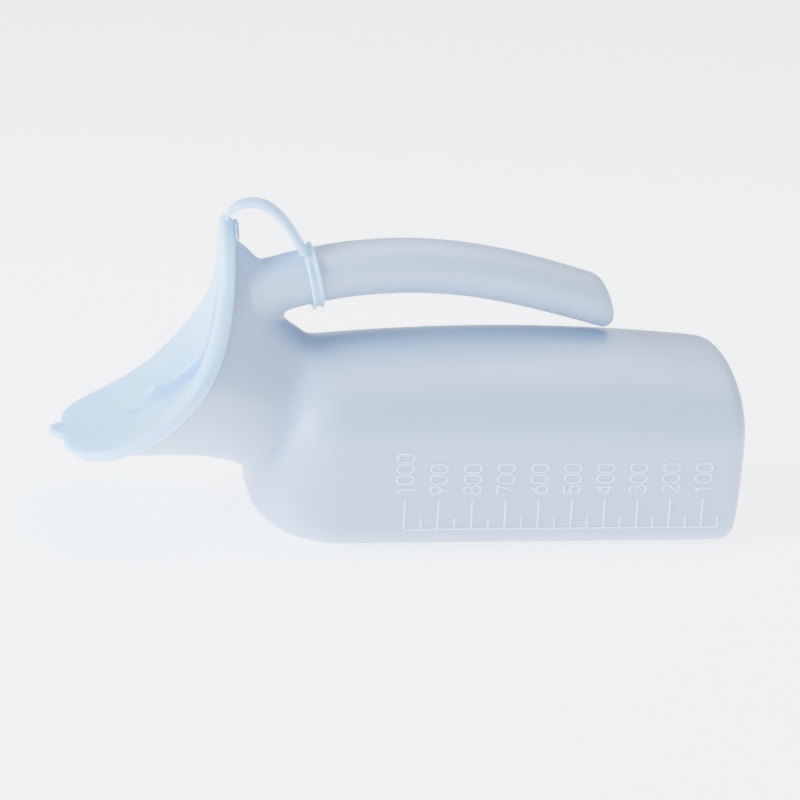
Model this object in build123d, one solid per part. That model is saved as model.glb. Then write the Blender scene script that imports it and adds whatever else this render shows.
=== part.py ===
from build123d import *
import os
from math import cos, radians, sin

# Female urine bottle, lying on its flat side. Millimetres. X runs along the bottle from the mouth (-X) to the
# standing base (+X), Z is up through the handle, and Z = 0 is the flat underside. Y = 0 is the symmetry plane.

# ---- driving dimensions -------------------------------------------------------------------------------------
WALL = 1.6                      # blow-moulded polyethylene wall

BODY_HALF_WIDTH = 50.0
BODY_SHOULDER = 44.0            # height of the upright sides
BODY_CORNER = 9.0               # radius along the lower edges
BODY_TOP = 79.4                 # the body's top line is an arc, highest over the origin
CROWN_RADIUS = 806.0
BODY_SINK = 0.1                 # the body's form reaches this far under Z = 0, where its underside is cut flat
BODY_FRONT_X = -82.0            # where the straight body ends and the rounded heel begins
BASE_X = 88.5                   # standing base
BASE_ROUND = 8.0

NECK_TILT = 23.2                # the neck axis rises toward the mouth
NECK_X = -102.7
NECK_Z = 47.25

MOUTH_RADIUS = 72.5             # the lip's face is part of a cylinder along Y
MOUTH_CENTRE_X = -197.4
MOUTH_CENTRE_Z = 106.6
LIP_THICKNESS = 3.0
LIP_OVERHANG = 2.6
ANCHOR_FRONT = 3.3              # the flange behind the lid's root, measured back from the lip's face
ANCHOR_BACK = 5.8
ANCHOR_OVERHANG = 7.3
ANCHOR_HALF_WIDTH = 9.0
ANCHOR_LOW_Z = 112.0

HANDLE_RADIUS = 190.5           # centre line of the hook, an arc in the symmetry plane
HANDLE_APEX_X = -47.0
HANDLE_APEX_Z = 106.6
HANDLE_HALF_WIDTH = 15.0
HANDLE_HALF_HEIGHT = 11.35
HANDLE_ROOT_ANGLE = -16.3       # degrees from the apex, negative toward the mouth
TIP_X = 38.8
TIP_Z = 89.2
TIP_LEAN = 16.0                 # the blunt end leans back over the handle
TIP_HALF_WIDTH = 13.0
TIP_HALF_HEIGHT = 9.4
TIP_ROUND = 5.0

RING_ANGLE = -12.0
RING_WIDTH = 6.2
RING_WEB = 1.2
RING_BEAD = 2.2                 # width of each bead along the handle, and its height over the clearance
RING_BEAD_ROUND = 0.9
RING_CLEARANCE = 0.3

LID_THICKNESS = 2.0
LID_CLEARANCE = 1.2             # round the lip's edge
LID_FACE_GAP = 0.2              # over the lip's face
LID_SKIRT_WALL = 1.7
LID_SKIRT_DEPTH = 3.0           # behind the lip's face
DISH_RADIUS = 52.2
DISH_STRETCH = 1.17             # the dish is a ball stretched along Y
DISH_X = -173.2
DISH_Z = 91.6
POCKET_LOW_RADIUS = 12.0        # the pocket is a round-ended slot that tapers upward
POCKET_HIGH_RADIUS = 4.0
POCKET_LOW_Z = 41.0
POCKET_HIGH_Z = 97.0
POCKET_DEPTH = 8.0              # below the dish

TAB_HALF_WIDTH = 10.0
TAB_TIP_X = -195.0
TAB_ROOT_X = -186.0
TAB_TOP_Z = 36.6
TAB_THICKNESS = 1.8

STRAP_WIDTH = 11.6
STRAP_THICKNESS = 3.0
STRAP_YAW = -9.5                # the strap turns a little toward the scale side

SCALE_THOUSAND_X = -54.0
SCALE_PITCH = 13.85             # 100 mL
SCALE_MARKS = 10
SCALE_BASE_Z = 8.5
MARK_LONG = 12.0
MARK_SHORT = 4.4
MARK_WIDTH = 1.0
MARK_PROUD = 0.5

BIG = 400.0

# ---- derived values -----------------------------------------------------------------------------------------
NECK_AXIS = Vector(-cos(radians(NECK_TILT)), 0, sin(radians(NECK_TILT)))
NECK_CENTRE = Vector(NECK_X, 0, NECK_Z)
NECK_PLANE = Plane(origin=NECK_CENTRE, x_dir=(0, 1, 0), z_dir=NECK_AXIS)
HANDLE_CENTRE = Vector(HANDLE_APEX_X, 0, HANDLE_APEX_Z - HANDLE_RADIUS)
LID_UNDERSIDE = MOUTH_RADIUS - LID_FACE_GAP
LID_FACE = LID_UNDERSIDE - LID_THICKNESS
LID_BACK = MOUTH_RADIUS + LID_SKIRT_DEPTH
SKIRT_INNER = LIP_OVERHANG + LID_CLEARANCE
LID_OVERHANG = SKIRT_INNER + LID_SKIRT_WALL


# ---- section shapes -----------------------------------------------------------------------------------------
ARCH_STEP = 15                  # degrees of the arch between two of its points
NARROW_END = 0.8                # the arch has its upper width from this share of its height on


def arch_points(half_width, upper_half_width, shoulder, rise):
    """Points over the arch from the right shoulder to the left: an ellipse whose half width narrows upward."""
    points = []
    for angle in range(0, 181, ARCH_STEP):
        turn = radians(angle)
        climb = min(sin(turn) / NARROW_END, 1)
        share = climb * climb * (3 - 2 * climb)
        width = half_width + (upper_half_width - half_width) * share
        points.append((width * cos(turn), shoulder + rise * sin(turn)))
    return points


def d_face(plane, half_width, upper_half_width, below, above, shoulder, corner_width, corner_height):
    """Closed section: flat bottom, elliptical lower corners, upright sides and an arch."""
    flat = half_width - corner_width
    corner_z = corner_height - below
    right_corner = EllipticalCenterArc((flat, corner_z), corner_width, corner_height, 270, arc_size=90)
    left_corner = EllipticalCenterArc((-flat, corner_z), corner_width, corner_height, 180, arc_size=90)
    points = arch_points(half_width, upper_half_width, shoulder, above - shoulder)
    edges = [
        Line((-flat, -below), (flat, -below)),
        right_corner,
        Line((half_width, corner_z), (half_width, shoulder)),
        Spline(*points, tangents=[(0, 1), (0, -1)]),
        Line((-half_width, shoulder), (-half_width, corner_z)),
        left_corner,
    ]
    return plane * make_face(edges)


def body_row(x):
    """The body's section under its crown, as a row of the table below."""
    top = BODY_TOP - x * x / (2 * CROWN_RADIUS)
    height = top + BODY_SINK
    widest = (BODY_SHOULDER + BODY_SINK) / height
    corner_width = BODY_CORNER / BODY_HALF_WIDTH
    corner_height = (BODY_CORNER + BODY_SINK) / height
    return (x, -BODY_SINK, x, top, BODY_HALF_WIDTH, widest, corner_width, corner_height, 1.0)


# From the end of the straight body, round the heel, through the neck and out along the funnel. Each row holds
# the lowest point (x, z), the highest point (x, z), the half width, the height of the widest point as a share of
# the section's height, the width and height of the lower corners as shares of the half width and height, and how
# wide the upper part of the arch stays, as a share of the half width.
STATIONS = [
    body_row(BODY_FRONT_X),
    (-91.5, 0.5, -83.5, 75.2, 49.2, 0.57, 0.27, 0.17, 1.0),
    (-102.2, 2.3, -85.5, 75.2, 46.8, 0.55, 0.40, 0.24, 1.0),
    (-112.0, 8.8, -88.0, 75.3, 40.5, 0.52, 0.68, 0.38, 1.0),
    (-114.8, 21.5, -90.4, 76.0, 31.5, 0.50, 0.90, 0.46, 0.95),
    (-129.5, 26.3, -103.0, 88.0, 33.0, 0.47, 0.90, 0.43, 0.80),
    (-144.5, 27.8, -111.5, 108.5, 38.0, 0.40, 0.90, 0.36, 0.50),
    (-160.0, 29.3, -119.5, 116.5, 43.0, 0.34, 0.82, 0.28, 0.35),
    (-174.0, 31.8, -129.5, 121.5, 46.5, 0.32, 0.74, 0.24, 0.28),
    (-183.5, 36.8, -141.0, 127.0, 48.0, 0.31, 0.70, 0.22, 0.25),
    (-188.5, 44.5, -152.5, 134.0, 48.0, 0.30, 0.72, 0.21, 0.25),
    (-191.0, 54.0, -163.5, 140.0, 48.0, 0.30, 0.72, 0.21, 0.25),
]
NECK_STATION = 4
STEPS = 3                       # sections per gap between two rows
BODY_STEPS = 4
CAP_STEPS = 4


def between(before, start, end, after, share):
    """One value of a smooth curve through four equally spaced values, a share of the way from start to end."""
    slope_in = (end - before) / 2
    slope_out = (after - start) / 2
    rest = 1 - share
    return (
        start * (1 + 2 * share) * rest ** 2 + end * (3 - 2 * share) * share ** 2
        + slope_in * share * rest ** 2 - slope_out * rest * share ** 2
    )


def station_rows(first):
    """The rows from the first one on, with smooth rows put in between them."""
    rows = []
    last = len(STATIONS) - 1
    for index in range(first, last):
        around = [STATIONS[max(index - 1, 0)], STATIONS[index], STATIONS[index + 1], STATIONS[min(index + 2, last)]]
        for step in range(STEPS):
            rows.append([between(*column, step / STEPS) for column in zip(*around)])
    return rows + [list(STATIONS[last])]


def station_face(row, inset):
    low_x, low_z, high_x, high_z, half_width, widest, corner_width, corner_height, upper_width = row
    up = Vector(high_x - low_x, 0, high_z - low_z)
    height = up.length
    plane = Plane(origin=(low_x, 0, low_z), x_dir=(0, 1, 0), z_dir=Vector(0, 1, 0).cross(up))
    width = half_width - inset
    upper = upper_width * half_width - inset
    corner_w = corner_width * half_width - inset
    corner_h = corner_height * height - inset
    return d_face(plane, width, upper, -inset, height - inset, widest * height, corner_w, corner_h)


def front_form(inset):
    return loft([station_face(row, inset) for row in station_rows(0)])


def horn_form(grow):
    """The neck and funnel alone, grown outward."""
    return loft([station_face(row, -grow) for row in station_rows(NECK_STATION)])


def outside_mouth(radius):
    """Everything in front of a saddle surface: a long cylinder along Y, carried straight up at its back."""
    edge_x = MOUTH_CENTRE_X + radius
    cylinder = Pos(MOUTH_CENTRE_X, 0, MOUTH_CENTRE_Z) * Rot(90, 0, 0) * Cylinder(radius, BIG)
    block = Pos(edge_x - BIG / 2, 0, MOUTH_CENTRE_Z + BIG / 2) * Box(BIG, BIG, BIG)
    return cylinder + block


def saddle_shell(inner_radius, outer_radius):
    """The layer between two saddle surfaces."""
    return outside_mouth(outer_radius) - outside_mouth(inner_radius)


def handle_plane(angle):
    """Plane across the handle at an angle from its apex: local x is +Y, local y points away from the arc."""
    turn = radians(angle)
    outward = Vector(sin(turn), 0, cos(turn))
    along = Vector(cos(turn), 0, -sin(turn))
    return Plane(origin=HANDLE_CENTRE + outward * HANDLE_RADIUS, x_dir=(0, 1, 0), z_dir=along * -1)


# angle from the apex, half width, half height
HANDLE_STATIONS = [
    (-20.5, HANDLE_HALF_WIDTH, HANDLE_HALF_HEIGHT),
    (HANDLE_ROOT_ANGLE, HANDLE_HALF_WIDTH, HANDLE_HALF_HEIGHT),
    (-8.0, HANDLE_HALF_WIDTH, HANDLE_HALF_HEIGHT),
    (0.0, HANDLE_HALF_WIDTH, HANDLE_HALF_HEIGHT),
    (11.0, 14.1, 10.9),
    (20.0, 13.4, 10.5),
]


def ellipse_face(plane, half_width, half_height):
    return plane * make_face(Ellipse(half_width, half_height).edges())


def hook_form(inset):
    """The whole hook, from inside the funnel to the blunt end, which stands nearly upright."""
    faces = [
        ellipse_face(handle_plane(angle), width - inset, height - inset)
        for angle, width, height in HANDLE_STATIONS
    ]
    outward = Vector(cos(radians(TIP_LEAN)), 0, sin(radians(TIP_LEAN)))
    end = Plane(origin=Vector(TIP_X, 0, TIP_Z) - outward * inset, x_dir=(0, 1, 0), z_dir=outward * -1)
    faces.append(ellipse_face(end, TIP_HALF_WIDTH - inset, TIP_HALF_HEIGHT - inset))
    hook = loft(faces)
    return fillet(hook.edges().sort_by(Axis.X)[-1:], TIP_ROUND - inset)


def body_form(inset):
    """Straight body under a slightly crowned top, and its rounded base end."""
    end_x = BASE_X - BASE_ROUND
    length = end_x - BODY_FRONT_X
    body_rows = [body_row(BODY_FRONT_X + length * step / BODY_STEPS) for step in range(BODY_STEPS + 1)]
    body = loft([station_face(row, inset) for row in body_rows])
    cap_faces = []
    for step in range(CAP_STEPS + 1):
        turn = radians(90 * step / CAP_STEPS)
        drawn_in = BASE_ROUND - (BASE_ROUND - inset) * cos(turn)
        cap_faces.append(station_face(body_row(end_x + (BASE_ROUND - inset) * sin(turn)), drawn_in))
    return body + loft(cap_faces)


# ---- the bottle: one moulding, held as three nodes that meet face to face --------------------------------------
def make_bottle_body():
    front = front_form(0).split(NECK_PLANE, keep=Keep.BOTTOM)
    front_space = front_form(WALL).split(NECK_PLANE, keep=Keep.BOTTOM)
    outer = (body_form(0) + front).split(Plane.XY, keep=Keep.TOP)
    return outer - (body_form(WALL) + front_space)


def make_mouth_funnel():
    root_plane = handle_plane(HANDLE_ROOT_ANGLE)
    outer = front_form(0).split(NECK_PLANE, keep=Keep.TOP)
    space = front_form(WALL).split(NECK_PLANE, keep=Keep.TOP)
    root = hook_form(0).split(root_plane, keep=Keep.TOP)
    root_space = hook_form(WALL).split(root_plane, keep=Keep.TOP)
    brim = horn_form(LIP_OVERHANG)
    lip = brim & saddle_shell(MOUTH_RADIUS, MOUTH_RADIUS + LIP_THICKNESS)
    flange = horn_form(ANCHOR_OVERHANG) & saddle_shell(MOUTH_RADIUS + ANCHOR_FRONT, MOUTH_RADIUS + ANCHOR_BACK)
    anchor_room = Pos(MOUTH_CENTRE_X, 0, ANCHOR_LOW_Z + BIG / 2) * Box(BIG, 2 * ANCHOR_HALF_WIDTH, BIG)
    outer = outer + root + lip + (flange & anchor_room)
    return outer - outside_mouth(MOUTH_RADIUS) - space - root_space


def make_carry_handle():
    root_plane = handle_plane(HANDLE_ROOT_ANGLE)
    outer = hook_form(0).split(root_plane, keep=Keep.BOTTOM)
    return outer - hook_form(WALL).split(root_plane, keep=Keep.BOTTOM)


def scale_mark(x, length):
    """A raised line down the scale side, standing on the scale's base line."""
    return Pos(x, -BODY_HALF_WIDTH - MARK_PROUD / 2, SCALE_BASE_Z + length / 2) * Box(MARK_WIDTH, MARK_PROUD, length)


def make_volume_scale():
    """Ten long marks and ten short ones on one base line, raised on the body's near side."""
    last_x = SCALE_THOUSAND_X + (SCALE_MARKS - 0.5) * SCALE_PITCH
    middle = (SCALE_THOUSAND_X + last_x) / 2
    line = Pos(middle, -BODY_HALF_WIDTH - MARK_PROUD / 2, SCALE_BASE_Z)
    marks = line * Box(last_x - SCALE_THOUSAND_X + MARK_WIDTH, MARK_PROUD, MARK_WIDTH)
    for index in range(SCALE_MARKS):
        x = SCALE_THOUSAND_X + index * SCALE_PITCH
        marks += scale_mark(x, MARK_LONG)
        marks += scale_mark(x + SCALE_PITCH / 2, MARK_SHORT)
    return marks


# ---- the lid and its tether ----------------------------------------------------------------------------------
def lid_blank():
    """The lid's outline as a solid block, for the plate and for the tab and strap that grow from its edge."""
    return horn_form(LID_OVERHANG) & saddle_shell(LID_FACE, LID_BACK)


def dish_ball(grow):
    """The ball whose skin is the dish."""
    ball = Sphere(DISH_RADIUS + grow)
    return Pos(DISH_X, 0, DISH_Z) * scale(ball, by=(1, DISH_STRETCH, 1))


def pocket_block(grow):
    """An upright slot sunk past the dish, grown on its sides and floor."""
    low = Pos(POCKET_LOW_Z + POCKET_LOW_RADIUS, 0) * Circle(POCKET_LOW_RADIUS + grow)
    high = Pos(POCKET_HIGH_Z - POCKET_HIGH_RADIUS, 0) * Circle(POCKET_HIGH_RADIUS + grow)
    outline = make_hull(low.edges() + high.edges())
    upright = Plane(origin=(DISH_X, 0, 0), x_dir=(0, 0, 1), z_dir=(1, 0, 0))
    slot = extrude(upright * outline, DISH_RADIUS * 2)
    return slot & dish_ball(POCKET_DEPTH + grow)


def make_lid(blank):
    plate = blank & saddle_shell(LID_FACE, LID_UNDERSIDE)
    skirt = (blank - horn_form(SKIRT_INNER)) & saddle_shell(LID_FACE, LID_BACK)
    bowl = (dish_ball(LID_THICKNESS) + pocket_block(LID_THICKNESS)) - outside_mouth(LID_UNDERSIDE)
    bowl = bowl & horn_form(-WALL - LID_CLEARANCE)
    return (plate + skirt + bowl) - dish_ball(0) - pocket_block(0)


def make_pull_tab(blank):
    """A thin rounded tongue on the lid's tip."""
    reach = TAB_ROOT_X - TAB_TIP_X
    outline = make_face(Ellipse(reach, TAB_HALF_WIDTH).edges())
    tongue = Pos(TAB_ROOT_X, 0, TAB_TOP_Z - TAB_THICKNESS) * extrude(outline, TAB_THICKNESS)
    return (tongue - blank).solids().sort_by(Axis.X)[0]


def make_handle_ring():
    """A soft loop round the handle: a thin web between two thicker beads."""
    plane = handle_plane(RING_ANGLE)
    bore_width = HANDLE_HALF_WIDTH + RING_CLEARANCE
    bore_height = HANDLE_HALF_HEIGHT + RING_CLEARANCE
    loop = extrude(ellipse_face(plane, bore_width + RING_WEB, bore_height + RING_WEB), RING_WIDTH / 2, both=True)
    for side in (-1, 1):
        middle = plane.offset(side * (RING_WIDTH - RING_BEAD) / 2)
        face = ellipse_face(middle, bore_width + RING_BEAD, bore_height + RING_BEAD)
        bead = extrude(face, RING_BEAD / 2, both=True)
        loop += fillet(bead.edges(), RING_BEAD_ROUND)
    return loop - extrude(ellipse_face(plane, bore_width, bore_height), RING_WIDTH, both=True)


# centre line of the strap, from the lid's top edge to the ring's crown, in the plane of the strap
STRAP_POINTS = [
    (-124.0, 122.0),
    (-123.2, 127.0),
    (-119.0, 131.5),
    (-112.5, 132.7),
    (-105.0, 129.5),
    (-98.4, 122.6),
    (-93.6, 114.6),
]


def make_tether_strap(blank, ring):
    """A flat band that arches from the lid to the ring."""
    line = Spline(*[(x, z) for x, z in STRAP_POINTS])
    band = Plane.XZ * trace(line, STRAP_THICKNESS)
    strap = extrude(band, STRAP_WIDTH / 2, both=True)
    root_x, root_z = STRAP_POINTS[0]
    strap = Pos(root_x, 0, 0) * Rot(0, 0, STRAP_YAW) * Pos(-root_x, 0, 0) * strap
    return (strap - blank - ring).solids().sort_by(SortBy.VOLUME)[-1]


def main():
    os.makedirs("parts", exist_ok=True)
    blank = lid_blank()
    ring = make_handle_ring()
    parts = {
        "bottle_body": make_bottle_body(),
        "mouth_funnel": make_mouth_funnel(),
        "carry_handle": make_carry_handle(),
        "volume_scale": make_volume_scale(),
        "lid": make_lid(blank),
        "pull_tab": make_pull_tab(blank),
        "tether_strap": make_tether_strap(blank, ring),
        "handle_ring": ring,
    }
    for name, shape in parts.items():
        export_step(shape, f"parts/{name}.step")


main()
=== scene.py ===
import math

import bpy
import numpy as np
from mathutils import Matrix, Vector


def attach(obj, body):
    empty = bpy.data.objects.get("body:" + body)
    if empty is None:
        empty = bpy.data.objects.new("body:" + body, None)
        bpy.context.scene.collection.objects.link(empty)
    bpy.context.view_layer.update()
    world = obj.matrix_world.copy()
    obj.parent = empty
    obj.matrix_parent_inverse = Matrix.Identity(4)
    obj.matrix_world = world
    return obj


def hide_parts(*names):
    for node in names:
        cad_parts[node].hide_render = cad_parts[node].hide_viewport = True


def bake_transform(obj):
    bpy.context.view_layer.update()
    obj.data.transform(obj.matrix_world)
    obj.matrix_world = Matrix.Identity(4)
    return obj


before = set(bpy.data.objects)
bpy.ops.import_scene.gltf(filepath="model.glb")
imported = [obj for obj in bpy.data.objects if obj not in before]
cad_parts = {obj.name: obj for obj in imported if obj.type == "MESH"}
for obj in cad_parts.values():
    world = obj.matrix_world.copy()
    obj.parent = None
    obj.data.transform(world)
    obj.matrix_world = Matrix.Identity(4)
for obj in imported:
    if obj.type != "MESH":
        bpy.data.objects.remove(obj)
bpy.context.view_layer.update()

# Female urine bottle lying on its flat side. Shapes are worked out in millimetres in the frame's own axes and
# become metres when a mesh is made. Each moulding is a field: a value for every point of a grid, negative
# inside the plastic, whose zero surface is then meshed. Fields blend into each other the way blow-moulded
# walls do.
MM = 0.001

# ---- the bottle's dimensions, nearly all as in the CAD ---------------------------------------------------
WALL = 1.6
BODY_FRONT_X = -82.0
BASE_X = 88.5
BASE_ROUND = 6.5
BASE_DRAW = 2.2                 # how far the base's lower edge is drawn in
BASE_MIDDLE_Z = 38.0
BODY_SHOULDER = 44.0
BODY_CORNER = 9.0
BODY_TOP = 79.4                 # the top line of the body is an arc, highest over the frame's origin
CROWN_RADIUS = 806.0

# lowest point (x, z), highest point (x, z), half width, height of the widest point as a share of the
# section's height, width and height of the lower corners as shares of the half width and height, and how wide
# the upper part of the arch stays, as a share of the half width
STATIONS = [
    (BODY_FRONT_X, 0.0, BODY_FRONT_X, 75.2, 50.0, 0.585, 0.18, 0.12, 1.0),
    (-91.5, 0.5, -83.5, 75.2, 49.2, 0.57, 0.27, 0.17, 1.0),
    (-102.2, 2.3, -85.5, 75.5, 46.8, 0.55, 0.40, 0.24, 1.0),
    (-112.0, 8.8, -88.5, 76.5, 40.5, 0.52, 0.68, 0.38, 1.0),
    (-114.8, 21.5, -91.5, 78.6, 31.5, 0.50, 0.90, 0.46, 0.95),
    (-129.5, 26.3, -103.0, 88.0, 33.0, 0.47, 0.90, 0.43, 0.80),
    (-144.5, 27.8, -111.5, 108.5, 38.0, 0.40, 0.90, 0.36, 0.50),
    (-160.0, 29.3, -119.5, 116.5, 43.0, 0.34, 0.82, 0.28, 0.35),
    (-174.0, 31.8, -129.5, 121.5, 46.5, 0.32, 0.74, 0.24, 0.28),
    (-183.5, 36.8, -141.0, 127.0, 48.0, 0.31, 0.70, 0.22, 0.25),
    (-188.5, 44.5, -152.5, 134.0, 48.0, 0.30, 0.72, 0.21, 0.25),
    (-191.0, 54.0, -163.5, 140.0, 48.0, 0.30, 0.72, 0.21, 0.25),
]
NARROW_END = 0.8                # the arch has its upper width from this share of its height on
STEPS = 12                      # rows from one station to the next

MOUTH_RADIUS = 72.5
MOUTH_CENTRE_X = -197.4
MOUTH_CENTRE_Z = 106.6
LIP_THICKNESS = 3.0
LIP_OVERHANG = 2.6
ANCHOR_FRONT = 3.3              # the flange behind the lid's root, measured back from the lip's face
ANCHOR_BACK = 5.8
ANCHOR_OVERHANG = 7.3
ANCHOR_HALF_WIDTH = 9.0
ANCHOR_LOW_Z = 117.0

HANDLE_RADIUS = 190.5
HANDLE_APEX_X = -47.0
HANDLE_CENTRE_Z = 106.6 - HANDLE_RADIUS
HANDLE_HALF_WIDTH = 15.0
HANDLE_HALF_HEIGHT = 11.35
HANDLE_START_ANGLE = -20.5
HANDLE_NARROWING_ANGLE = 24.0   # where the hook has its end's width, height and lift
HANDLE_NARROWING_LIMIT = 1.15
TIP_LIFT_POWER = 4
TIP_HALF_WIDTH = 13.0
TIP_HALF_HEIGHT = 10.6
TIP_LIFT = 3.1                  # how far the hook's end lies above the arc, over the body
TIP_TOP_ROUND = 4.0
TIP_LOW_ROUND = 6.0
TIP_X = 38.8
TIP_Z = 89.0
TIP_LEAN = math.radians(16.0)


# ---- fields ----------------------------------------------------------------------------------------------
def ellipse_field(across, up, half_width, half_height):
    """Distance from an ellipse, exact on its outline and close to it near the outline."""
    scaled = np.sqrt((across / half_width) ** 2 + (up / half_height) ** 2)
    slope = np.sqrt((across / half_width ** 2) ** 2 + (up / half_height ** 2) ** 2)
    return scaled * (scaled - 1) / np.maximum(slope, 1e-6)


def round_max(first, second, radius):
    """The overlap of two fields, with its outer edge rounded."""
    a = first + radius
    b = second + radius
    corner = np.sqrt(np.maximum(a, 0) ** 2 + np.maximum(b, 0) ** 2)
    return corner - radius + np.minimum(np.maximum(a, b), 0)


def soft_min(first, second, reach):
    """The union of two fields, with a fillet that starts a reach away from the crease."""
    mix = np.maximum(reach - np.abs(first - second), 0) / np.maximum(reach, 1e-6)
    return np.minimum(first, second) - mix ** 3 * reach / 6


def soft_max(first, second, reach):
    """The overlap of two fields, with a fillet along its edge."""
    return -soft_min(-first, -second, reach)


def evened(field, step):
    """A field rescaled so that its value is a distance in millimetres near its surface."""
    gx, gy, gz = np.gradient(field, step)
    steepness = np.sqrt(gx * gx + gy * gy + gz * gz)
    return field / np.clip(steepness, 0.5, 4.0)


def between(before, start, end, after, share):
    """One value of a smooth curve through four evenly spaced values, a share of the way from start to end."""
    slope_in = (end - before) / 2
    slope_out = (after - start) / 2
    rest = 1 - share
    return (
        start * (1 + 2 * share) * rest ** 2 + end * (3 - 2 * share) * share ** 2
        + slope_in * share * rest ** 2 - slope_out * rest * share ** 2
    )


def smooth_stations():
    """The station rows with smooth rows put in between them."""
    rows = []
    last = len(STATIONS) - 1
    for index in range(last):
        before, after = STATIONS[max(index - 1, 0)], STATIONS[min(index + 2, last)]
        around = [before, STATIONS[index], STATIONS[index + 1], after]
        rows += [[between(*column, step / STEPS) for column in zip(*around)] for step in range(STEPS)]
    rows.append(list(STATIONS[last]))
    return np.array(rows)


def section_field(across, up, half_width, height, widest, corner_width, corner_height, upper):
    """The D section: flat bottom, rounded lower corners, upright sides and an arch that may narrow upward."""
    side = np.abs(across)
    shoulder = widest * height
    climb = np.clip((up - shoulder) / (height - shoulder) / NARROW_END, 0, 1)
    narrowing = 1 - (1 - upper) * climb * climb * (3 - 2 * climb)
    corner_w = corner_width * half_width
    corner_h = corner_height * height
    straight = np.maximum(side - half_width, -up)
    arch = ellipse_field(side, up - shoulder, half_width * narrowing, height - shoulder)
    corner = ellipse_field(side - half_width + corner_w, corner_h - up, corner_w, corner_h)
    in_corner = (up < corner_h) & (side > half_width - corner_w)
    return np.where(up > shoulder, arch, np.where(in_corner, corner, straight))


def form_field(x, y, z):
    """The closed outer form of body, heel, neck and funnel. x and z are the grid's (x, 1, z) planes."""
    rows = smooth_stations()
    flat_x = x[:, 0, :]
    flat_z = z[:, 0, :]
    ahead = []
    for low_x, low_z, high_x, high_z in rows[:, :4]:
        length = math.hypot(high_x - low_x, high_z - low_z)
        ahead.append(((flat_z - low_z) * (high_x - low_x) - (flat_x - low_x) * (high_z - low_z)) / length)
    ahead = np.array(ahead)
    index = np.clip((ahead > 0).sum(axis=0) - 1, 0, len(rows) - 2)
    near = np.take_along_axis(ahead, index[None], 0)[0]
    far = np.take_along_axis(ahead, index[None] + 1, 0)[0]
    share = np.clip(near / np.maximum(near - far, 1e-6), 0, 1)
    here = rows[index] * (1 - share[..., None]) + rows[index + 1] * share[..., None]
    low_x, low_z, high_x, high_z, half_width, widest, corner_w, corner_h, upper = np.moveaxis(here, -1, 0)
    height = np.hypot(high_x - low_x, high_z - low_z)
    up = ((flat_x - low_x) * (high_x - low_x) + (flat_z - low_z) * (high_z - low_z)) / height
    in_body = flat_x > BODY_FRONT_X
    height = np.where(in_body, BODY_TOP - flat_x ** 2 / (2 * CROWN_RADIUS), height)
    widest = np.where(in_body, BODY_SHOULDER / height, widest)
    corner_h = np.where(in_body, BODY_CORNER / height, corner_h)
    values = [plane[:, None, :] for plane in (up, half_width, height, widest, corner_w, corner_h, upper)]
    section = section_field(y, *values)
    drawn_in = BASE_DRAW * np.clip(1 - z / BASE_MIDDLE_Z, 0, 1) ** 2
    return round_max(section, x - BASE_X + drawn_in, BASE_ROUND)


def handle_field(x, y, z):
    """The hook: an elliptical tube along its arc, narrowing to a blunt end that leans back."""
    side = x - HANDLE_APEX_X
    rise = z - HANDLE_CENTRE_Z
    angle = np.degrees(np.arctan2(side, rise))
    outward = np.hypot(side, rise) - HANDLE_RADIUS
    narrowing = np.clip(angle / HANDLE_NARROWING_ANGLE, 0, HANDLE_NARROWING_LIMIT)
    width = HANDLE_HALF_WIDTH + (TIP_HALF_WIDTH - HANDLE_HALF_WIDTH) * narrowing
    height = HANDLE_HALF_HEIGHT + (TIP_HALF_HEIGHT - HANDLE_HALF_HEIGHT) * narrowing
    tube = ellipse_field(y, outward - TIP_LIFT * narrowing ** TIP_LIFT_POWER, width, height)
    end = (x - TIP_X) * math.cos(TIP_LEAN) + (z - TIP_Z) * math.sin(TIP_LEAN)
    start = (HANDLE_START_ANGLE - angle) * math.radians(1) * HANDLE_RADIUS
    edge_radius = np.where(outward > 0, TIP_TOP_ROUND, TIP_LOW_ROUND)
    return np.maximum(round_max(tube, end, edge_radius), start)


def depth_field(x, z):
    """Distance from the axis of the mouth's cylinder, measured straight back above that axis."""
    side = x - MOUTH_CENTRE_X
    down = np.minimum(z - MOUTH_CENTRE_Z, 0)
    return np.where(down < 0, np.hypot(side, down), side)


# ---- meshing a field -------------------------------------------------------------------------------------
JUST_INSIDE = -0.01
DEEP_INSIDE = -9.0
RELAX_SHARE = 0.5               # how far a point moves toward the middle of its neighbours in one round
LEAST_STEEPNESS = 0.05          # squared; keeps a point from jumping where the field is nearly flat


def grid(low, high, step):
    """The x, y and z of a grid's points, as arrays that combine into the whole grid."""
    x, y, z = [np.arange(a, b + step, step, dtype=np.float32) for a, b in zip(low, high)]
    return x[:, None, None], y[None, :, None], z[None, None, :]


def sample(field, low, step, points):
    """The field's value at points, between the grid's corners."""
    place = (points - low) / step
    base = np.clip(np.floor(place).astype(int), 0, np.array(field.shape) - 2)
    share = place - base
    value = 0
    for dx in (0, 1):
        for dy in (0, 1):
            for dz in (0, 1):
                weight = np.ones(len(points))
                for axis, offset in enumerate((dx, dy, dz)):
                    weight = weight * (share[:, axis] if offset else 1 - share[:, axis])
                value = value + weight * field[base[:, 0] + dx, base[:, 1] + dy, base[:, 2] + dz]
    return value


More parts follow.
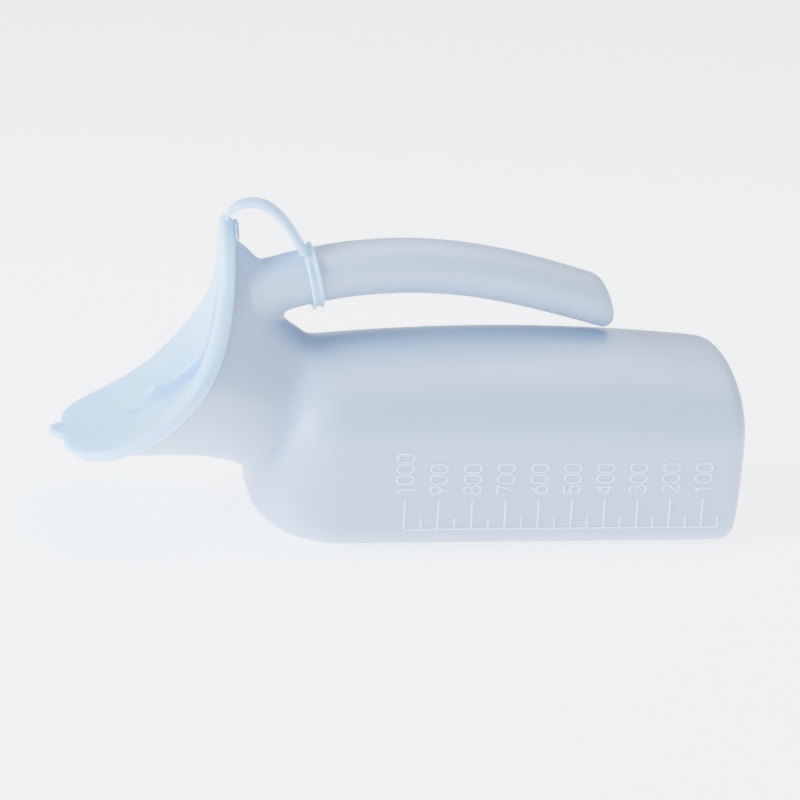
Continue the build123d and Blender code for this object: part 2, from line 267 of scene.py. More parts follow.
def surface_net(field, low, step):
    """Points and quads of the field's zero surface: one point per grid cell that it passes through."""
    inside = field < 0
    cells = np.zeros(tuple(n - 1 for n in field.shape), dtype=np.uint8)
    corners = [(i, j, k) for i in (0, 1) for j in (0, 1) for k in (0, 1)]
    for i, j, k in corners:
        nx, ny, nz = cells.shape
        cells += inside[i:i + nx, j:j + ny, k:k + nz]
    active = np.argwhere((cells > 0) & (cells < 8))
    number = np.full(cells.shape, -1, dtype=np.int64)
    number[tuple(active.T)] = np.arange(len(active))
    values = {c: field[tuple((active + c).T)] for c in corners}
    total = np.zeros((len(active), 3))
    count = np.zeros(len(active))
    for start in corners:
        for axis in range(3):
            if start[axis]:
                continue
            end = tuple(1 if a == axis else s for a, s in enumerate(start))
            first, second = values[start], values[end]
            crossed = (first < 0) != (second < 0)
            share = np.where(crossed, first / np.where(crossed, first - second, 1), 0)
            point = np.repeat(np.array([start], dtype=float), len(active), 0)
            point[:, axis] += share
            total += point * crossed[:, None]
            count += crossed
    points = low + (active + total / count[:, None]) * step
    quads = []
    for axis in range(3):
        others = [a for a in range(3) if a != axis]
        ahead = np.roll(inside, -1, axis)
        edge = inside != ahead
        limits = [slice(1, n - 1) for n in field.shape]
        limits[axis] = slice(0, field.shape[axis] - 1)
        mask = np.zeros_like(edge)
        mask[tuple(limits)] = edge[tuple(limits)]
        starts = np.argwhere(mask)
        ring = []
        for a, b in ((0, 0), (1, 0), (1, 1), (0, 1)):
            cell = starts.copy()
            cell[:, others[0]] -= a
            cell[:, others[1]] -= b
            ring.append(number[tuple(cell.T)])
        quad = np.stack(ring, axis=1)
        flip = inside[tuple(starts.T)] == (axis == 1)
        quad[flip] = quad[flip][:, ::-1]
        quads.append(quad)
    return points, np.concatenate(quads)


def joined(field):
    """Fills grid points until no two inside ones touch only across a diagonal: net edges have two faces."""
    field = field.copy()
    found = True
    while found:
        found = False
        for axis in range(3):
            sheets = np.moveaxis(field, axis, 0)
            near = sheets[:, :-1, :-1]
            right = sheets[:, 1:, :-1]
            up = sheets[:, :-1, 1:]
            far = sheets[:, 1:, 1:]
            crossed = ((near < 0) == (far < 0)) & ((right < 0) == (up < 0)) & ((near < 0) != (right < 0))
            fill_near = crossed & (near >= 0)
            fill_right = crossed & (right >= 0)
            near[fill_near] = JUST_INSIDE
            right[fill_right] = JUST_INSIDE
            found = found or bool(crossed.any())
    return field


def closed_off(field):
    """The field with its grid's outermost points outside, so that a form cut by the grid is closed."""
    field = field.copy()
    for axis in range(3):
        sheets = np.moveaxis(field, axis, 0)
        sheets[0] = np.maximum(sheets[0], -JUST_INSIDE)
        sheets[-1] = np.maximum(sheets[-1], -JUST_INSIDE)
    return field


def relax(points, quads, field, low, step, rounds):
    """Evens out the net and puts each point back on the surface."""
    edges = np.concatenate([quads[:, [a, (a + 1) % 4]] for a in range(4)])
    ends = np.concatenate([edges, edges[:, ::-1]])
    count = np.bincount(ends[:, 0], minlength=len(points))[:, None]
    slopes = np.gradient(field, step)
    for _ in range(rounds):
        sums = [np.bincount(ends[:, 0], points[ends[:, 1], axis], len(points)) for axis in range(3)]
        points = points + RELAX_SHARE * (np.stack(sums, 1) / count - points)
        for _ in range(2):
            value = sample(field, low, step, points)
            slope = np.stack([sample(s, low, step, points) for s in slopes], 1)
            steepness = np.maximum((slope ** 2).sum(1), LEAST_STEEPNESS)
            points = points - slope * (value / steepness)[:, None]
    return points


def mesh_object(name, points, faces):
    """A smooth-shaded object from points in millimetres and faces with the same number of corners."""
    mesh = bpy.data.meshes.new(name)
    sides = faces.shape[1]
    mesh.vertices.add(len(points))
    mesh.vertices.foreach_set("co", (points * MM).astype(np.float32).ravel())
    mesh.loops.add(faces.size)
    mesh.loops.foreach_set("vertex_index", faces.astype(np.int32).ravel())
    mesh.polygons.add(len(faces))
    mesh.polygons.foreach_set("loop_start", np.arange(len(faces), dtype=np.int32) * sides)
    mesh.update(calc_edges=True)
    mesh.validate()
    mesh.shade_smooth()
    piece = bpy.data.objects.new(name, mesh)
    bpy.context.scene.collection.objects.link(piece)
    return piece


def field_object(name, field, low, step, rounds=3):
    """A field's surface as an object, evened out over a few rounds."""
    low = np.array(low, dtype=float)
    field = joined(closed_off(field))
    points, quads = surface_net(field, low, step)
    points = relax(points, quads, field, low, step, rounds)
    return mesh_object(name, points, quads)


def softened(field, rounds):
    """A field blurred by about a grid step, so that its creases turn into small radii."""
    for _ in range(rounds):
        for axis in range(3):
            padded = np.pad(field, [(1, 1) if a == axis else (0, 0) for a in range(3)], mode="edge")
            count = field.shape[axis]
            low = padded.take(range(0, count), axis)
            high = padded.take(range(2, count + 2), axis)
            field = 0.5 * field + 0.25 * (low + high)
    return field


def mirrored(field):
    """The whole field from its half with y up to and including 0."""
    return np.concatenate([field, field[:, -2::-1, :]], axis=1)


def half_grid(low, high, step):
    """A grid whose y runs from low up to the symmetry plane, and the same grid's (x, 1, z) planes."""
    x, y, z = grid(low, (high[0], 0, high[2]), step)
    flat = np.zeros((x.shape[0], 1, z.shape[2]), dtype=np.float32)
    return x, y - y[:, -1:, :], z, x + flat, z + flat


# ---- the bottle ------------------------------------------------------------------------------------------
BOTTLE_STEP = 1.0
CROTCH_REACH = 7.0              # how far the fillet under the handle's root reaches
NOTCH_REACH = 6.0               # and the one over it
ROOT_BLEND = 16.0               # height over which one reach turns into the other
ROOT_END_X = -58.0              # behind here the handle is free of the funnel
ROOT_FADE = 22.0                # length over which the fillets grow to their full reach
LIP_EDGE = 1.0                  # edge radii of the lip and the flange, and the fillet at their feet
ANCHOR_EDGE = 1.1
ANCHOR_END_EDGE = 1.2
ANCHOR_CORNER = 2.0
LIP_FILLET = 1.5


def bottle_union(x, y, z, flat_x, flat_z, step):
    """Body, funnel and handle as one blow-moulded outer form."""
    form = evened(mirrored(form_field(flat_x, y, flat_z)), step)
    handle = evened(mirrored(handle_field(x, y, z)), step)
    outward = np.hypot(x - HANDLE_APEX_X, z - HANDLE_CENTRE_Z) - HANDLE_RADIUS
    under = np.clip(0.5 - outward / ROOT_BLEND, 0, 1)
    near_root = np.clip((ROOT_END_X - x) / ROOT_FADE, 0, 1)
    reach = (NOTCH_REACH + (CROTCH_REACH - NOTCH_REACH) * under) * near_root
    return form, soft_min(form, handle, reach)


def make_bottle():
    """The bottle as one hollow shell: an outer form cut by the saddle, less its inner space."""
    low = (-198.0, -54.0, -4.0)
    x, y, z, flat_x, flat_z = half_grid(low, (92.0, 0.0, 130.0), BOTTLE_STEP)
    form, union = bottle_union(x, y, z, flat_x, flat_z, BOTTLE_STEP)
    union = softened(union, 2)
    behind = depth_field(x, z)
    across = np.concatenate([y, -y[:, -2::-1, :]], axis=1)
    in_front = MOUTH_RADIUS - behind
    lip_band = np.maximum(in_front, behind - MOUTH_RADIUS - LIP_THICKNESS)
    lip = round_max(form - LIP_OVERHANG, lip_band, LIP_EDGE)
    anchor_band = np.maximum(in_front + ANCHOR_FRONT, behind - MOUTH_RADIUS - ANCHOR_BACK)
    anchor_room = round_max(np.abs(across) - ANCHOR_HALF_WIDTH, ANCHOR_LOW_Z - z, ANCHOR_CORNER)
    anchor = round_max(form - ANCHOR_OVERHANG, anchor_band, ANCHOR_EDGE)
    anchor = round_max(anchor, anchor_room, ANCHOR_END_EDGE)
    edged = soft_min(soft_min(union, lip, LIP_FILLET), anchor, LIP_FILLET)
    outer = softened(np.maximum(edged, in_front), 1)
    shell = field_object("bottle_shell", outer, low, BOTTLE_STEP)
    coarse = union[::2, ::2, ::2] + WALL
    space = field_object("bottle_space", coarse, low, 2 * BOTTLE_STEP)
    hollow = shell.modifiers.new("hollow", "BOOLEAN")
    hollow.operation = "DIFFERENCE"
    hollow.object = space
    hollow.solver = "MANIFOLD"
    apply_modifiers(shell)
    bpy.data.objects.remove(space)
    return shell


def apply_modifiers(piece):
    """Replaces the mesh with what its modifiers make of it."""
    depsgraph = bpy.context.evaluated_depsgraph_get()
    result = bpy.data.meshes.new_from_object(piece.evaluated_get(depsgraph))
    piece.modifiers.clear()
    piece.data = result
    result.shade_smooth()


# ---- the lid ---------------------------------------------------------------------------------------------
LID_STEP = 0.7
LID_THICKNESS = 2.0
LID_FACE_GAP = 0.2              # over the lip's face
LID_SKIRT_DEPTH = 3.8           # behind the lip's face
LID_CLEARANCE = 1.2             # round the lip's edge
LID_SKIRT_WALL = 1.7
LID_FACE = MOUTH_RADIUS - LID_FACE_GAP - LID_THICKNESS
LID_BACK = MOUTH_RADIUS + LID_SKIRT_DEPTH
SKIRT_INNER = LIP_OVERHANG + LID_CLEARANCE
LID_OVERHANG = SKIRT_INNER + LID_SKIRT_WALL
LID_FRONT_EDGE = 2.6            # radius of the rolled rim
LID_BACK_EDGE = 0.8
SKIRT_FILLET = 1.0
DISH_START = 1.0                # the dish begins this far inside the funnel's own outline
DISH_LOW_DEPTH = 3.5
DISH_DEPTH = 9.0
DISH_LOW_Z = 42.0               # the dish deepens from here
DISH_HIGH_Z = 85.0              # to here
DISH_SHOULDER = 27.0            # width of the slope from the rim to the dish's flat middle
CREST_RISE = 1.1                # the rim stands higher over its root at the top
CREST_LOW_Z = 108.0
CREST_HIGH_Z = 126.0
POCKET_LOW_RADIUS = 12.0        # the pocket is a round-ended slot that tapers upward
POCKET_HIGH_RADIUS = 3.0
POCKET_LOW_Z = 43.0
POCKET_HIGH_Z = 104.0
POCKET_DEPTH = 7.5
POCKET_FLOOR_EDGE = 2.5
POCKET_MOUTH_EDGE = 1.2


def make_lid():
    """The cover: rolled rim and skirt round the lip, a dish that follows the funnel, and the sunk pocket."""
    low = (-194.6, -56.0, 27.3)
    x, y, z, flat_x, flat_z = half_grid(low, (-106.0, 0.0, 131.0), LID_STEP)
    low = (low[0], float(y[0, 0, 0]), low[2])
    form = evened(mirrored(form_field(flat_x, y, flat_z)), LID_STEP)
    across = np.concatenate([y, -y[:, -2::-1, :]], axis=1)
    behind = depth_field(x, z)
    slope = np.clip((-form - DISH_START) / DISH_SHOULDER, 0, 1)
    upward = np.clip((z - DISH_LOW_Z) / (DISH_HIGH_Z - DISH_LOW_Z), 0, 1)
    depth = DISH_LOW_DEPTH + (DISH_DEPTH - DISH_LOW_DEPTH) * upward * upward * (3 - 2 * upward)
    dish = behind - LID_FACE - depth * slope * slope * (3 - 2 * slope)
    low_z, high_z = POCKET_LOW_Z + POCKET_LOW_RADIUS, POCKET_HIGH_Z - POCKET_HIGH_RADIUS
    nearest = np.clip(z, low_z, high_z)
    taper = (nearest - low_z) / (high_z - low_z)
    radius = POCKET_LOW_RADIUS + (POCKET_HIGH_RADIUS - POCKET_LOW_RADIUS) * taper
    slot = np.hypot(across, z - nearest) - radius
    hollow = soft_min(dish, soft_max(slot, dish - POCKET_DEPTH, POCKET_FLOOR_EDGE), POCKET_MOUTH_EDGE)
    hollow = evened(softened(hollow, 1), LID_STEP)
    plate = np.maximum(-hollow, hollow - LID_THICKNESS)
    skirt = np.maximum(SKIRT_INNER - form, behind - LID_BACK)
    crest = CREST_RISE * np.clip((z - CREST_LOW_Z) / (CREST_HIGH_Z - CREST_LOW_Z), 0, 1) ** 2
    outline = form - LID_OVERHANG - crest
    edge = np.maximum(round_max(outline, LID_FACE - behind, LID_FRONT_EDGE), outline)
    back = np.where(form > 0, round_max(outline, behind - LID_BACK, LID_BACK_EDGE), DEEP_INSIDE)
    solid = soft_min(plate, np.maximum(skirt, LID_FACE - behind), SKIRT_FILLET)
    cover = softened(np.maximum(np.maximum(solid, edge), back), 1)
    return field_object("lid_cover", cover, low, LID_STEP)


TAB_STEP = 0.35
TAB_HALF_WIDTH = 9.0
TAB_TIP_X = -195.0
TAB_ROOT_X = -186.0
TAB_MIDDLE_Z = 35.7
TAB_HALF_THICKNESS = 0.75
TAB_BEAD = 1.5
TAB_CORNER = 8.0
TAB_WEB_EDGE = 0.3
TAB_FILLET = 0.8
TAB_END_X = -187.4              # inside the lid's rim


def make_tab():
    """The tongue on the lid's tip: a thin web inside a round bead."""
    low = (-196.0, -11.2, 33.6)
    x, y, z, _, _ = half_grid(low, (-186.5, 0.0, 37.8), TAB_STEP)
    low = (low[0], float(y[0, 0, 0]), low[2])
    outline = round_max(np.abs(y) - TAB_HALF_WIDTH, TAB_TIP_X - x, TAB_CORNER) + 0 * z
    height = np.abs(z - TAB_MIDDLE_Z)
    web = round_max(outline + TAB_BEAD, height - TAB_HALF_THICKNESS, TAB_WEB_EDGE)
    bead = np.hypot(outline + TAB_BEAD, height) - TAB_BEAD
    tab = np.maximum(soft_min(web, bead, TAB_FILLET), x - TAB_END_X)
    return field_object("lid_tab", mirrored(tab), low, TAB_STEP)


# ---- swept pieces ----------------------------------------------------------------------------------------
def swept_object(name, rings, closed):
    """A tube through rings of points: closed on itself, or with its two ends capped."""
    rings = np.array(rings)
    count, sides, _ = rings.shape
    turns = count if closed else count - 1
    faces = []
    for ring in range(turns):
        following = (ring + 1) % count
        for side in range(sides):
            beside = (side + 1) % sides
            this, that = ring * sides, following * sides
            faces.append((this + side, this + beside, that + beside, that + side))
    mesh = bpy.data.meshes.new(name)
    if not closed:
        faces.append(tuple(reversed(range(sides))))
        faces.append(tuple((count - 1) * sides + side for side in range(sides)))
    mesh.from_pydata((rings.reshape(-1, 3) * MM).tolist(), [], faces)
    mesh.update()
    mesh.shade_smooth()
    piece = bpy.data.objects.new(name, mesh)
    bpy.context.scene.collection.objects.link(piece)
    return piece


RING_ANGLE = math.radians(-12.6)
RING_HALF_WIDTH = 2.5
RING_BEAD = 1.1                 # radius of the round bead along each edge
RING_WEB = 0.6                  # half thickness of the web between the beads
RING_GAP = 0.3
RING_SIDES = 96
BEAD_STEP = 15                  # degrees
# share of the band's reach, and lift over its web
VALLEY_POINTS = ((0.62, 0.12), (0.3, 0.0), (-0.3, 0.0), (-0.62, 0.12))


def ring_profile():
    """The band's outline as points (along the handle, out from its surface): bead, web and bead."""
    reach = RING_HALF_WIDTH - RING_BEAD
    points = []
    for angle in range(-90, 91, BEAD_STEP):
        turn = math.radians(angle)
        points.append((reach + RING_BEAD * math.cos(turn), RING_BEAD + RING_BEAD * math.sin(turn)))
    for share, lift in VALLEY_POINTS:
        points.append((reach * share, 2 * RING_WEB + lift))
    for angle in range(90, 271, BEAD_STEP):
        turn = math.radians(angle)
        points.append((-reach + RING_BEAD * math.cos(turn), RING_BEAD + RING_BEAD * math.sin(turn)))
    return points


def make_ring():
    """The loop round the handle, across its arc at the ring's angle."""
    profile = ring_profile()
    outward = np.array([math.sin(RING_ANGLE), 0, math.cos(RING_ANGLE)])
    along = np.array([math.cos(RING_ANGLE), 0, -math.sin(RING_ANGLE)])
    sideways = np.array([0, 1, 0])
    centre = np.array([HANDLE_APEX_X, 0, HANDLE_CENTRE_Z]) + outward * HANDLE_RADIUS
    width = HANDLE_HALF_WIDTH + RING_GAP
    height = HANDLE_HALF_HEIGHT + RING_GAP
    rings = []
    for step in range(RING_SIDES):
        turn = 2 * math.pi * step / RING_SIDES
        place = np.array([width * math.sin(turn), height * math.cos(turn)])
        normal = np.array([height * math.sin(turn), width * math.cos(turn)])
        normal /= np.linalg.norm(normal)
        ring = []
        for shift, lift in reversed(profile):
            side, up = place + normal * lift
            ring.append(centre + sideways * side + outward * up + along * shift)
        rings.append(ring)
    return swept_object("tether_ring", rings, closed=True)


# centre line of the strap (x, z), from the lid's top edge to the ring's crown
STRAP_POINTS = [
    (-124.2, 123.6),
    (-123.4, 127.2),
    (-120.2, 130.6),
    (-114.8, 132.2),
    (-109.4, 131.7),
    (-103.8, 128.3),
    (-98.4, 122.3),
    (-94.2, 116.0),
    (-92.0, 112.6),
]
STRAP_YAW = math.radians(-9.5)
STRAP_HALF_WIDTH = 6.2
STRAP_HALF_THICKNESS = 1.6
STRAP_NECK = 0.3                # share of the length over which the strap widens from its thin root
STRAP_NECK_POWER = 1.5
STRAP_ROOT_WIDTH = 0.5          # of the full width and thickness
STRAP_ROOT_THICKNESS = 0.55
STRAP_STEPS = 8
STRAP_SIDES = 24
SIDE_BLUNTNESS = 0.45           # powers that make the band's section a rounded oblong
FACE_BLUNTNESS = 0.7


def smooth_line(points, steps):
    """Evenly stepped points of a smooth curve through the given ones."""
    line = []
    last = len(points) - 1
    for index in range(last):
        before, after = points[max(index - 1, 0)], points[min(index + 2, last)]
        around = [before, points[index], points[index + 1], after]
        line += [[between(*column, step / steps) for column in zip(*around)] for step in range(steps)]
    line.append(list(points[last]))
    return np.array(line)


def make_strap():
    """The flat band, with rounded edges, turned a little toward the scale side and narrow at its root."""
    line = smooth_line(STRAP_POINTS, STRAP_STEPS)
    slopes = np.gradient(line, axis=0)
    slopes /= np.linalg.norm(slopes, axis=1)[:, None]
    rings = []
    for index, ((x, z), (run, rise)) in enumerate(zip(line, slopes)):
        share = index / (len(line) - 1)
        fullness = min(share / STRAP_NECK, 1) ** STRAP_NECK_POWER
        width_share = STRAP_ROOT_WIDTH + (1 - STRAP_ROOT_WIDTH) * fullness
        thickness_share = STRAP_ROOT_THICKNESS + (1 - STRAP_ROOT_THICKNESS) * fullness
        half_width = STRAP_HALF_WIDTH * width_share
        half_thickness = STRAP_HALF_THICKNESS * thickness_share
        ring = []
        for side in range(STRAP_SIDES):
            turn = 2 * math.pi * side / STRAP_SIDES
            across = math.copysign(abs(math.cos(turn)) ** SIDE_BLUNTNESS, math.cos(turn)) * half_width
            lift = math.copysign(abs(math.sin(turn)) ** FACE_BLUNTNESS, math.sin(turn)) * half_thickness
            ahead = x - rise * lift - STRAP_POINTS[0][0]
            ring.append((
                STRAP_POINTS[0][0] + ahead * math.cos(STRAP_YAW) - across * math.sin(STRAP_YAW),
                ahead * math.sin(STRAP_YAW) + across * math.cos(STRAP_YAW),
                z + run * lift,
            ))
        rings.append(ring)
    return swept_object("tether_band", rings, closed=False)


# ---- the scale -------------------------------------------------------------------------------------------
SCALE_THOUSAND_X = -54.0
SCALE_PITCH = 13.85
SCALE_MARKS = 10
SCALE_BASE_Z = 8.5
MARK_LONG = 12.0
MARK_SHORT = 4.4
SCALE_WALL_Y = -50.0
SCALE_STEP = 0.22
STROKE_RADIUS = 0.38
DIGIT_WIDTH = 3.5
DIGIT_HEIGHT = 6.9
DIGIT_MIDDLE = 0.45             # the share of its height that stands over the mark
DIGIT_PITCH = 4.5
NUMBER_START_Z = 23.4


def arc(centre_u, centre_v, radius_u, radius_v, start, end, steps=12):
    """Points on an ellipse's arc, angles in degrees from the right, anticlockwise."""
    turns = [math.radians(start + (end - start) * step / steps) for step in range(steps + 1)]
    return [(centre_u + radius_u * math.cos(t), centre_v + radius_v * math.sin(t)) for t in turns]


# each digit as strokes in a unit box: u to the right, v up
DIGITS = {
    "0": [arc(0.5, 0.72, 0.5, 0.28, 0, 180) + arc(0.5, 0.28, 0.5, 0.28, 180, 360) + [(1.0, 0.72)]],
    "1": [[(0.15, 0.78), (0.55, 1.0), (0.55, 0.0)]],
    "2": [arc(0.5, 0.72, 0.5, 0.28, 160, -30) + [(0.0, 0.0), (1.0, 0.0)]],
    "3": [arc(0.47, 0.76, 0.45, 0.24, 150, -90), arc(0.47, 0.27, 0.53, 0.27, 90, -150)],
    "4": [[(0.72, 0.0), (0.72, 1.0), (0.0, 0.3), (1.0, 0.3)]],
    "5": [[(0.92, 1.0), (0.14, 1.0), (0.08, 0.56)] + arc(0.48, 0.32, 0.52, 0.32, 125, -150)],
    "6": [[(0.78, 1.0)] + arc(0.5, 0.32, 0.5, 0.32, 165, 180, 2) + arc(0.5, 0.32, 0.5, 0.32, 180, 540, 24)],
    "7": [[(0.0, 1.0), (1.0, 1.0), (0.36, 0.0)]],
    "8": [arc(0.5, 0.76, 0.42, 0.24, -90, 270, 24), arc(0.5, 0.26, 0.5, 0.26, 90, 450, 24)],
    "9": [[(0.22, 0.0)] + arc(0.5, 0.68, 0.5, 0.32, -15, 0, 2) + arc(0.5, 0.68, 0.5, 0.32, 0, 360, 24)],
}


def number_strokes(text, x):
    """Strokes on the wall, as (x, z): the digits run upward, with their tops toward the mouth."""
    strokes = []
    for index, digit in enumerate(text):
        start = NUMBER_START_Z + index * DIGIT_PITCH
        for stroke in DIGITS[digit]:
            points = [(x - (v - DIGIT_MIDDLE) * DIGIT_HEIGHT, start + u * DIGIT_WIDTH) for u, v in stroke]
            strokes.append(points)
    return strokes


def scale_strokes():
    """The base line, its long and short marks, and their numbers."""
    strokes = []
    last_x = SCALE_THOUSAND_X + (SCALE_MARKS - 0.5) * SCALE_PITCH
    strokes.append([(SCALE_THOUSAND_X, SCALE_BASE_Z), (last_x, SCALE_BASE_Z)])
    for index in range(SCALE_MARKS):
        x = SCALE_THOUSAND_X + index * SCALE_PITCH
        short_x = x + SCALE_PITCH / 2
        strokes.append([(x, SCALE_BASE_Z), (x, SCALE_BASE_Z + MARK_LONG)])
        strokes.append([(short_x, SCALE_BASE_Z), (short_x, SCALE_BASE_Z + MARK_SHORT)])
        strokes += number_strokes(str(100 * (SCALE_MARKS - index)), x)
    return strokes


SCALE_LEFT_ROOM = 5.5           # the scale's grid reaches this far past its first mark,
SCALE_SIDE_ROOM = 0.9           # to either side of the wall
SCALE_LOW_ROOM = 1.5            # and under its base line
LONGEST_NUMBER = 4              # digits
FAR_FROM_STROKES = 9.0          # any distance well over a stroke's radius


def make_scale():
    """Rounded raised strokes on the near wall, as wide as they are high above and below its surface."""
    low = np.array((
        SCALE_THOUSAND_X - SCALE_LEFT_ROOM,
        SCALE_WALL_Y - SCALE_SIDE_ROOM,
        SCALE_BASE_Z - SCALE_LOW_ROOM,
    ))
    high = (
        SCALE_THOUSAND_X + SCALE_MARKS * SCALE_PITCH,
        SCALE_WALL_Y + SCALE_SIDE_ROOM,
        NUMBER_START_Z + LONGEST_NUMBER * DIGIT_PITCH + 1,
    )
    x, y, z = grid(low, high, SCALE_STEP)
    nearest = np.full((x.size, z.size), FAR_FROM_STROKES, dtype=np.float32)
    for stroke in scale_strokes():
        for start, end in zip(stroke, stroke[1:]):
            run, rise = end[0] - start[0], end[1] - start[1]
            side, up = x[:, 0] - start[0], z[0] - start[1]
            share = np.clip((side * run + up * rise) / max(run * run + rise * rise, 1e-6), 0, 1)
            nearest = np.minimum(nearest, np.hypot(side - share * run, up - share * rise))
    strokes = np.hypot(nearest[:, None, :], y - SCALE_WALL_Y) - STROKE_RADIUS
    return field_object("scale_marks", strokes, low, SCALE_STEP, rounds=1)


# ---- materials -------------------------------------------------------------------------------------------
CLOUD_SCALE = 22.0
SKIN_SCALE = 900.0
WAVE_SCALE = 60.0
WAVE_SHARE = 6.0                # height of the slow waves over the fine grain
GRAIN_HEIGHT = 0.0002
GLOSS_SPREAD = 0.06
POLYETHYLENE_IOR = 1.5
SCATTER_RADIUS = (1.0, 1.0, 1.1)
SCATTER_DEPTH = 0.004


def noise(nodes, links, place, scale, detail):
    """The output of a noise texture that stays with the object."""
    texture = nodes.new("ShaderNodeTexNoise")
    texture.inputs["Scale"].default_value = scale
    texture.inputs["Detail"].default_value = detail
    links.new(place.outputs["Object"], texture.inputs["Vector"])
    return texture.outputs["Fac"]


def plastic(name, colour, dark, roughness, subsurface, grain):
    """Milky polyethylene: cloudy colour, light scattered under the skin, and a fine moulded grain."""
    material = bpy.data.materials.new(name)
    material.use_nodes = True
    nodes = material.node_tree.nodes
    links = material.node_tree.links
    shader = nodes["Principled BSDF"]
    place = nodes.new("ShaderNodeTexCoord")
    cloud = noise(nodes, links, place, CLOUD_SCALE, 3.0)
    skin = noise(nodes, links, place, SKIN_SCALE, 2.0)
    wave = noise(nodes, links, place, WAVE_SCALE, 2.0)
    tone = nodes.new("ShaderNodeMix")
    tone.data_type = "RGBA"
    tone.inputs["A"].default_value = (*dark, 1)
    tone.inputs["B"].default_value = (*colour, 1)
    links.new(cloud, tone.inputs["Factor"])
    links.new(tone.outputs["Result"], shader.inputs["Base Color"])
    height = nodes.new("ShaderNodeMath")
    height.operation = "MULTIPLY_ADD"
    height.inputs[1].default_value = WAVE_SHARE
    links.new(wave, height.inputs[0])
    links.new(skin, height.inputs[2])
    bump = nodes.new("ShaderNodeBump")
    bump.inputs["Strength"].default_value = grain
    bump.inputs["Distance"].default_value = GRAIN_HEIGHT
    links.new(height.outputs["Value"], bump.inputs["Height"])
    links.new(bump.outputs["Normal"], shader.inputs["Normal"])
    gloss = nodes.new("ShaderNodeMapRange")
    gloss.inputs["To Min"].default_value = roughness - GLOSS_SPREAD
    gloss.inputs["To Max"].default_value = roughness + GLOSS_SPREAD
    links.new(cloud, gloss.inputs["Value"])
    links.new(gloss.outputs["Result"], shader.inputs["Roughness"])
    shader.inputs["IOR"].default_value = POLYETHYLENE_IOR
    shader.inputs["Subsurface Weight"].default_value = subsurface
    shader.inputs["Subsurface Radius"].default_value = SCATTER_RADIUS
    shader.inputs["Subsurface Scale"].default_value = SCATTER_DEPTH
    return material


bottle_plastic = plastic("bottle_polyethylene", (0.30, 0.39, 0.56), (0.28, 0.37, 0.54), 0.42, 0.3, 0.25)
# The lid's plastic is set lighter and bluer than the bottle's: partly its own tint, partly painted light
# standing in for the cool light that falls on the lid's face from the mouth end.
lid_plastic = plastic("lid_polyethylene_and_painted_light", (0.30, 0.61, 0.99), (0.275, 0.585, 0.97), 0.36, 0.6, 0.2)
# The scale's strokes are lighter than the bottle: partly the whiter look of the thicker plastic, partly a
# painted highlight standing in for the light that the raised strokes catch.
scale_plastic_and_highlight = plastic("scale_polyethylene_and_highlight", (0.62, 0.71, 0.84), (0.59, 0.68, 0.82), 0.4, 0.2, 0.1)


# ---- camera, floor and light -----------------------------------------------------------------------------
VIEW_TURN = math.radians(10)    # the camera stands this far round from the scale side, toward the mouth
VIEW_RISE = math.radians(16)
VIEW_DISTANCE = 1.0
VIEW_TARGET = Vector((-0.049, 0, 0.0486))
LENS = 107.1                    # millimetres, for a picture of the sensor's width
SENSOR_WIDTH = 36
FLOOR_HALF_SIZE = 6.0           # metres
FLOOR_GLOW = 3.3
SURROUND = 0.75


def make_camera():
    """Looks down at the scale side with the bottle's long axis level in the picture."""
    back = Vector((
        -math.sin(VIEW_TURN),
        -math.cos(VIEW_TURN) * math.cos(VIEW_RISE),
        math.cos(VIEW_TURN) * math.sin(VIEW_RISE),
    ))
    up = Vector((0, math.sin(VIEW_RISE), math.cos(VIEW_RISE)))
    right = up.cross(back)
    data = bpy.data.cameras.new("photo_view")
    data.lens = LENS
    data.sensor_width = SENSOR_WIDTH
    camera = bpy.data.objects.new("photo_view", data)
    camera.matrix_world = Matrix.Translation(VIEW_TARGET + back * VIEW_DISTANCE) @ Matrix(
        [(right[i], up[i], back[i]) for i in range(3)]
    ).to_4x4()
    bpy.context.scene.collection.objects.link(camera)
    bpy.context.scene.camera = camera


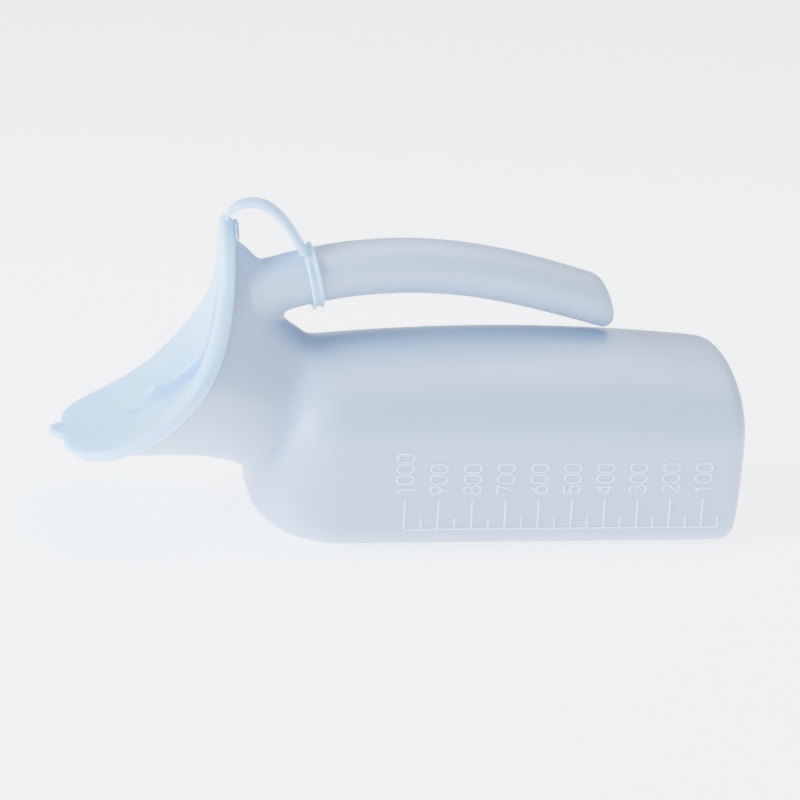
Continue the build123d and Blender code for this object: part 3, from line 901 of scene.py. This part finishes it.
def make_floor():
    """A white floor that lights itself, so that it stays as pale as a cut-out's background."""
    mesh = bpy.data.meshes.new("studio_floor")
    half = FLOOR_HALF_SIZE
    corners = [(-half, -half, 0), (half, -half, 0), (half, half, 0), (-half, half, 0)]
    mesh.from_pydata(corners, [], [(0, 1, 2, 3)])
    floor = bpy.data.objects.new("studio_floor", mesh)
    bpy.context.scene.collection.objects.link(floor)
    material = bpy.data.materials.new("studio_floor")
    material.use_nodes = True
    shader = material.node_tree.nodes["Principled BSDF"]
    shader.inputs["Base Color"].default_value = (0.92, 0.92, 0.93, 1)
    shader.inputs["Roughness"].default_value = 0.9
    shader.inputs["Emission Color"].default_value = (0.93, 0.965, 1.0, 1)
    shader.inputs["Emission Strength"].default_value = FLOOR_GLOW
    mesh.materials.append(material)


def area_light(name, place, target, size, power, colour):
    """A square lamp at a place, turned towards a target."""
    data = bpy.data.lights.new(name, "AREA")
    data.size = size
    data.energy = power
    data.color = colour
    light = bpy.data.objects.new(name, data)
    light.location = place
    light.rotation_euler = (Vector(target) - Vector(place)).to_track_quat("-Z", "Y").to_euler()
    bpy.context.scene.collection.objects.link(light)


def make_light():
    """Cool softboxes at the mouth end and in front, a warmer one overhead, and a pale surround."""
    centre = (-0.05, 0, 0.06)
    area_light("key", (-1.5, -0.3, 0.6), centre, 0.7, 110, (0.5, 0.78, 1.0))
    area_light("front", (-0.5, -1.4, 0.3), centre, 1.0, 9, (0.5, 0.75, 1.0))
    area_light("top", (0.3, 0.3, 1.6), centre, 1.2, 45, (1.0, 0.96, 0.90))
    world = bpy.data.worlds.new("surround")
    world.use_nodes = True
    world.node_tree.nodes["Background"].inputs["Color"].default_value = (0.76, 0.87, 1.0, 1)
    world.node_tree.nodes["Background"].inputs["Strength"].default_value = SURROUND
    bpy.context.scene.world = world


def dress(piece, slot, material, *nodes):
    """Gives a piece its material and hides the CAD nodes that it stands for."""
    piece.data.materials.clear()
    piece.data.materials.append(material)
    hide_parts(*nodes)


make_camera()
make_floor()
make_light()

bottle = make_bottle()
scale = make_scale()
lid = make_lid()
tab = make_tab()
ring = make_ring()
band = make_strap()

dress(bottle, "bottle_plastic", bottle_plastic, "bottle_body", "mouth_funnel", "carry_handle")
dress(scale, "bottle_plastic", scale_plastic_and_highlight, "volume_scale")
dress(lid, "lid_plastic", lid_plastic, "lid")
dress(tab, "lid_plastic", lid_plastic, "pull_tab")
dress(ring, "lid_plastic", lid_plastic, "handle_ring")
dress(band, "lid_plastic", lid_plastic, "tether_strap")
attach(bottle, "bottle")
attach(scale, "bottle")
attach(lid, "lid")
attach(tab, "lid")
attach(ring, "ring")
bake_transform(band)
